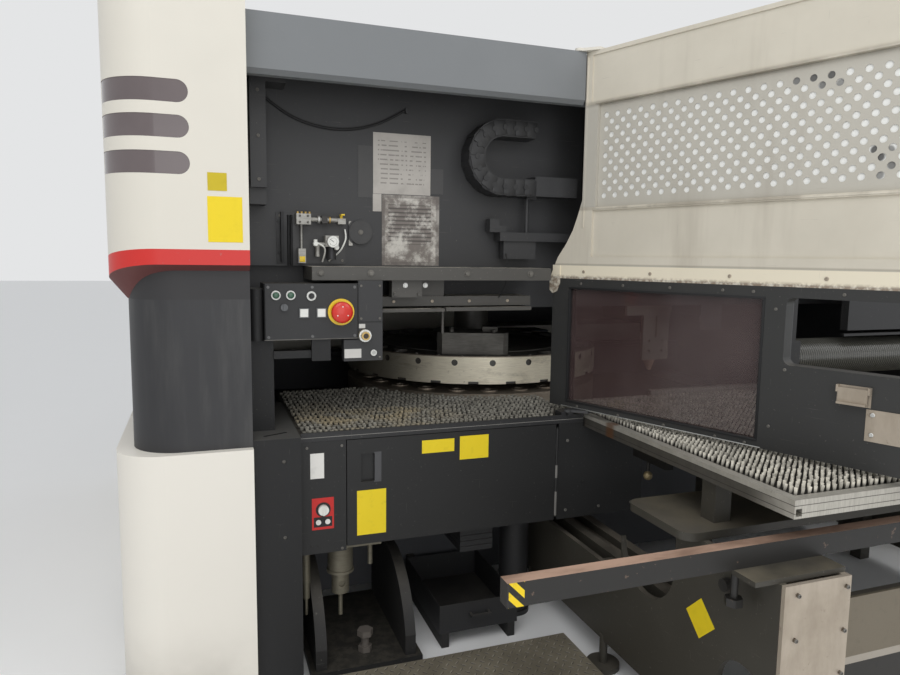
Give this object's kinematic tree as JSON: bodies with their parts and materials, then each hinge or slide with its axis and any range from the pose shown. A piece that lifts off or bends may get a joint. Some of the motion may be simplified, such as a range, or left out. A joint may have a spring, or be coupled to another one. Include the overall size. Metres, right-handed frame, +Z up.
{
  "type": "laser cutting machine",
  "caption": "Sheet-metal laser cutting and punching machine: open front throat, hinged door with a tinted window, turrets between brush tables, control box and side table.",
  "frame": {"origin": "on the floor, in the middle of the overall footprint with the front door open", "axes": "+X to the right along the front, +Y from the front into the machine, +Z up"},
  "size_m": [4.2, 3.879, 2.39],
  "materials": {
    "cream_paint": "satin, lightly scuffed",
    "beige_paint": "satin, worn and stained",
    "charcoal_paint": "matt, dusty",
    "black_paint": "matt, scratched",
    "column_paint": "satin",
    "beam_paint": "satin",
    "frame_paint": "satin",
    "smoked_plastic": "glossy",
    "paper_and_film": "matt, greyed",
    "black_rubber": "matt",
    "cast_aluminium": "satin",
    "yellow_plastic": "glossy",
    "red_plastic": "glossy",
    "white_plastic": "glossy",
    "black_plastic": "matt",
    "grey_plastic": "matt",
    "bristle_black": "matt, worn",
    "bristle_pale": "matt",
    "bright_metal": "polished",
    "steel": "satin, oiled",
    "dark_steel": "oiled, worn",
    "iron": "rough",
    "white_lining": "matt",
    "tinted_acrylic": "glossy, tinted"
  },
  "bodies": {
    "machine": {"base_frame": "frame_paint", "upper_frame": "charcoal_paint", "column_base_cover": "cream_paint", "column_mid_cover": "column_paint", "column_top_cover": "cream_paint", "column_lamps": "smoked_plastic", "outer_covers": "cream_paint", "front_beam": "beam_paint", "right_front_cover": "charcoal_paint", "throat_wall": "charcoal_paint", "throat_ledges": "dark_steel", "sheets_and_plates": "paper_and_film", "cable_post": "charcoal_paint", "air_unit": "cast_aluminium", "side_plinth": "black_paint", "control_box": "black_paint", "control_box_trim": "bright_metal", "fitting_panel": "black_paint", "press_drives": "iron", "rear_cabinets": "cream_paint", "cable_chain": "black_plastic", "sensor_arm": "charcoal_paint", "main_table": "black_paint", "main_brushes": "bristle_black", "front_skirt": "black_paint", "air_cylinders": "cast_aluminium", "foot_bracket": "frame_paint", "tread_plate": "dark_steel", "side_table": "cast_aluminium", "side_brushes": "bristle_pale", "table_base": "black_paint", "front_post_plate": "steel", "striped_bar": "black_paint", "extraction_hose": "grey_plastic", "wall_lead": "black_rubber"},
    "front_door": {"door_panel": "beige_paint", "door_lining": "white_lining", "door_lower_frame": "black_paint", "door_window": "tinted_acrylic", "door_outer_skin": "cream_paint", "door_fittings": "steel"},
    "door_latch": {"door_latch_paddle": "steel"},
    "skirt_door": {"skirt_door": "black_paint"},
    "turret_upper": {"turret_upper": "steel", "turret_tool_block": "dark_steel"},
    "turret_lower": {"turret_lower": "steel"},
    "striker": {"striker": "steel"},
    "laser_carriage": {"laser_carriage": "cast_aluminium"},
    "laser_head": {"laser_head": "cast_aluminium"},
    "carriage_beam": {"carriage_beam": "frame_paint"},
    "cross_slide": {"cross_slide": "frame_paint"},
    "clamp_jaws": {"clamp_jaws": "steel"},
    "scrap_box": {"scrap_box": "frame_paint"},
    "emergency_stop_button": {"emergency_stop_button": "red_plastic"},
    "start_button": {"start_button": "white_plastic"},
    "hold_button": {"hold_button": "white_plastic"},
    "key_switch": {"key_switch": "bright_metal"},
    "selector_knob": {"selector_knob": "grey_plastic"},
    "mode_knob": {"mode_knob": "white_plastic"},
    "air_valve_handle": {"air_valve_handle": "yellow_plastic"}
  },
  "joints": [
    {"name": "front_door_hinge", "type": "hinge", "parent": "machine", "child": "front_door", "pos_m": [-0.5025, -0.855, 1.5], "axis": [0, 0, 1], "range_deg": [-111.1, 0]},
    {"name": "door_latch_pivot", "type": "hinge", "parent": "front_door", "child": "door_latch", "pos_m": [-0.12798, -1.77699, 1.148], "axis": [-0.36, 0.933, 0], "range_deg": [0, 35], "stiffness_Nm_per_rad": 0.5},
    {"name": "skirt_door_hinge", "type": "hinge", "parent": "machine", "child": "skirt_door", "pos_m": [-0.545, -0.855, 0.65], "axis": [0, 0, 1], "range_deg": [0, 85]},
    {"name": "upper_turret_spin", "type": "hinge", "parent": "machine", "child": "turret_upper", "pos_m": [-0.48, 0.25, 1], "axis": [0, 0, 1], "continuous": true},
    {"name": "lower_turret_spin", "type": "hinge", "parent": "machine", "child": "turret_lower", "pos_m": [-0.48, 0.25, 0.85], "axis": [0, 0, 1], "continuous": true},
    {"name": "striker_slide", "type": "slide", "parent": "machine", "child": "striker", "axis": [0, 0, 1], "range_m": [-0.038, 0]},
    {"name": "cutting_carriage_slide", "type": "slide", "parent": "machine", "child": "laser_carriage", "axis": [0, 1, 0], "range_m": [-0.2, 0.4]},
    {"name": "cutting_head_slide", "type": "slide", "parent": "laser_carriage", "child": "laser_head", "axis": [0, 0, 1], "range_m": [-0.04, 0]},
    {"name": "carriage_slide", "type": "slide", "parent": "machine", "child": "carriage_beam", "axis": [0, 1, 0], "range_m": [-0.12, 0.13]},
    {"name": "cross_slide", "type": "slide", "parent": "carriage_beam", "child": "cross_slide", "axis": [1, 0, 0], "range_m": [-1, 1]},
    {"name": "clamp_jaw_pivot", "type": "hinge", "parent": "cross_slide", "child": "clamp_jaws", "pos_m": [0, 1.11, 0.975], "axis": [-1, 0, 0], "range_deg": [0, 20]},
    {"name": "scrap_box_slide", "type": "slide", "parent": "machine", "child": "scrap_box", "axis": [0, -1, 0], "range_m": [0, 0.38]},
    {"name": "emergency_stop_push", "type": "slide", "parent": "machine", "child": "emergency_stop_button", "axis": [0, 1, 0], "range_m": [0, 0.006], "stiffness_N_per_m": 800},
    {"name": "start_button_push", "type": "slide", "parent": "machine", "child": "start_button", "axis": [0, 1, 0], "range_m": [0, 0.004], "stiffness_N_per_m": 600},
    {"name": "hold_button_push", "type": "slide", "parent": "machine", "child": "hold_button", "axis": [0, 1, 0], "range_m": [0, 0.004], "stiffness_N_per_m": 600},
    {"name": "key_switch_turn", "type": "hinge", "parent": "machine", "child": "key_switch", "pos_m": [-1.477, -0.806, 1.366], "axis": [0, -1, 0], "range_deg": [-90, 0]},
    {"name": "selector_turn", "type": "hinge", "parent": "machine", "child": "selector_knob", "pos_m": [-1.568, -0.806, 1.328], "axis": [0, -1, 0], "range_deg": [-45, 45]},
    {"name": "mode_knob_turn", "type": "hinge", "parent": "machine", "child": "mode_knob", "pos_m": [-1.451, -0.862, 0.628], "axis": [0, -1, 0], "range_deg": [-90, 0]},
    {"name": "air_valve_turn", "type": "hinge", "parent": "machine", "child": "air_valve_handle", "pos_m": [-1.339, -0.624, 1.645], "axis": [0, 0, 1], "range_deg": [0, 90]}
  ],
  "couplings": [
    {"joint": "lower_turret_spin", "follows": "upper_turret_spin", "ratio": 1}
  ]
}
